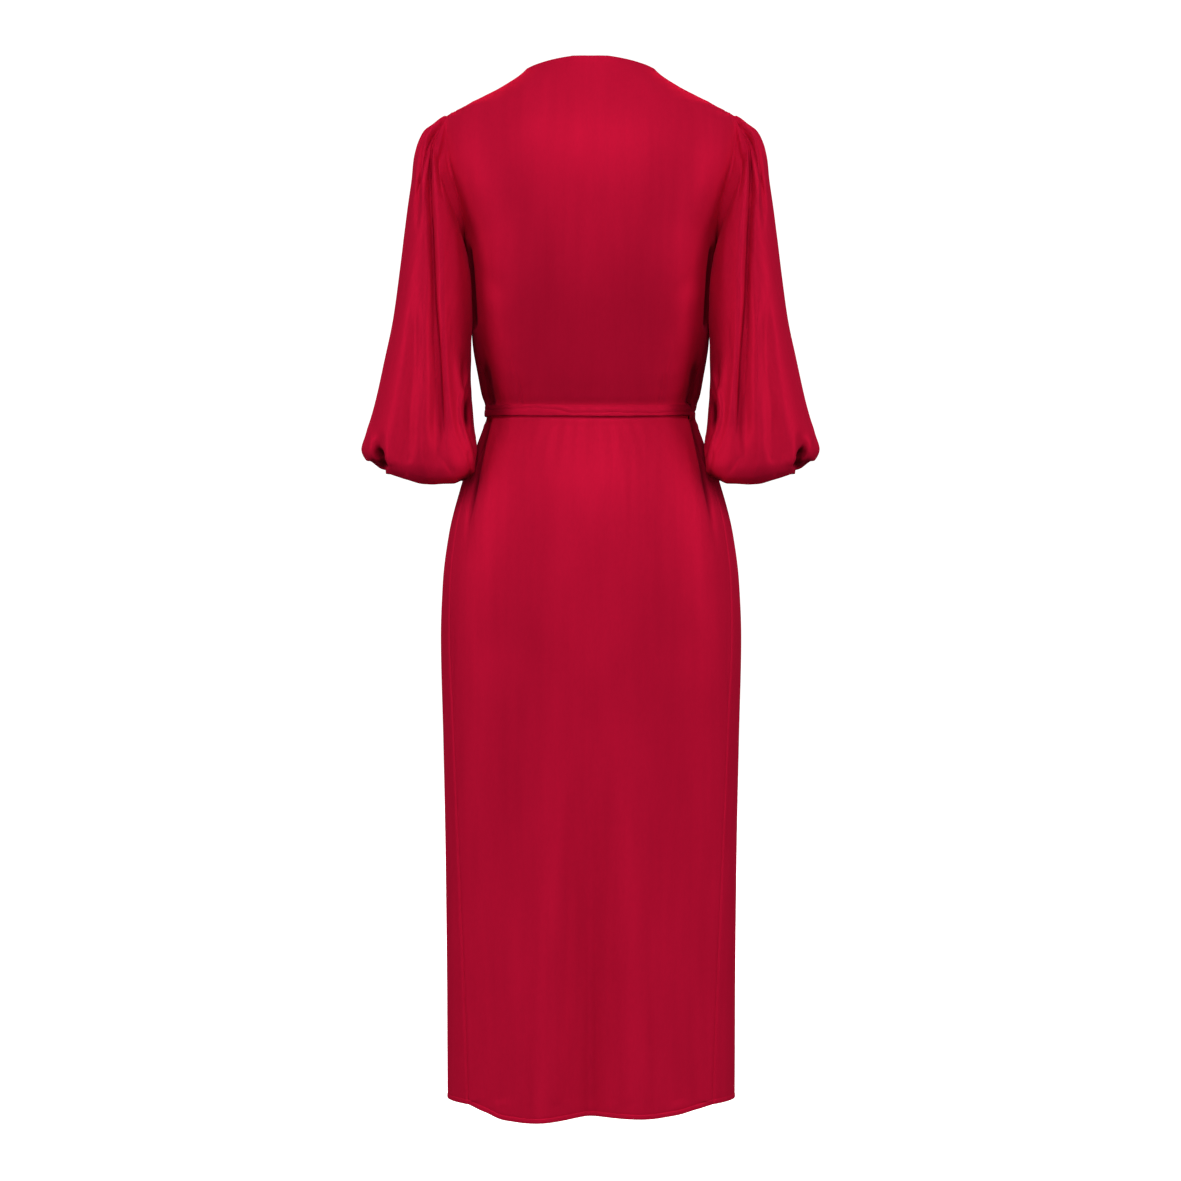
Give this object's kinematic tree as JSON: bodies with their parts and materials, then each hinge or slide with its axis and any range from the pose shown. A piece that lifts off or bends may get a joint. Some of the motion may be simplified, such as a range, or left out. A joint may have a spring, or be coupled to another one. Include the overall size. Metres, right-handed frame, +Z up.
{
  "type": "wrap dress",
  "caption": "Midi wrap dress in red satin with a V neck, pleated balloon sleeves gathered into narrow cuffs, a back gathered at the waist and a thin tie belt, filled out as worn.",
  "frame": {"origin": "midway between the neck ends of the two shoulder seams, where the wearer's shoulders carry the dress", "axes": "+Z up, from the hem to the shoulders; -Y is the front, where the panels wrap; +X is the wearer's left"},
  "size_m": [0.5238, 0.2601, 1.217],
  "materials": {
    "satin": "red viscose satin, soft sheen"
  },
  "bodies": {
    "root": {"bodice_back": "satin", "bodice_front_left": "satin", "bodice_front_right": "satin", "skirt_back": "satin", "skirt_front_left": "satin", "skirt_front_right": "satin", "sleeve_left": "satin", "sleeve_right": "satin", "cuff_left": "satin", "cuff_right": "satin", "belt_tie_long": "satin", "belt_tie_short": "satin", "belt_knot": "satin", "belt_end_upper": "satin", "belt_end_lower": "satin"}
  },
  "joints": []
}
